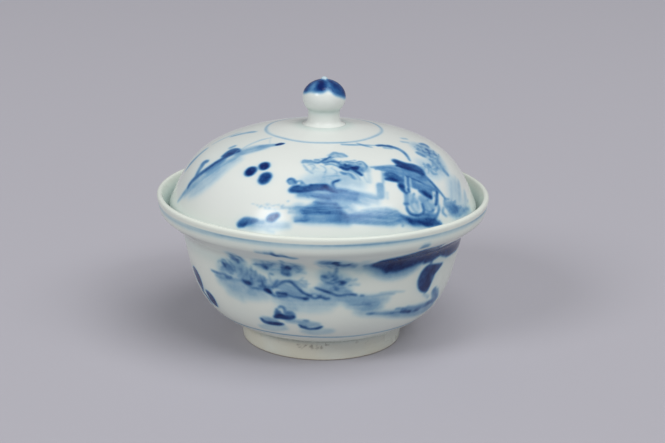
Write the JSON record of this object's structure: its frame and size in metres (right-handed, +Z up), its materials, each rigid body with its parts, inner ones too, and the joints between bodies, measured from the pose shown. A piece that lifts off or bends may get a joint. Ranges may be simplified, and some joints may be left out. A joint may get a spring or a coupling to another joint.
{
  "type": "covered bowl",
  "caption": "Round porcelain bowl on a foot ring with a galleried rim, and a domed cover with a bud knob that lifts off; bluish-white glaze painted with a blue river landscape.",
  "frame": {"origin": "centre of the foot ring's resting face", "axes": "+Z up along the axis of turning; -Y is the painted side with the pavilion that the picture shows; +X to the right of that view"},
  "size_m": [0.116, 0.116, 0.0933],
  "materials": {
    "bowl_glaze": "clear gloss glaze, bluish white, painted in underglaze blue",
    "foot_body": "thin glaze over a cream body, bare on the resting face",
    "cover_glaze": "clear gloss glaze, bluish white, painted in underglaze blue",
    "knob_glaze": "clear gloss glaze, white with a deep blue cap"
  },
  "bodies": {
    "bowl": {"bowl_body": "bowl_glaze", "foot_ring": "foot_body"},
    "cover": {"cover_dome": "cover_glaze", "cover_knob": "knob_glaze"}
  },
  "joints": [
    {"name": "cover_lift", "type": "slide", "parent": "bowl", "child": "cover", "axis": [0, 0, 1], "range_m": [0, 0.1]}
  ]
}
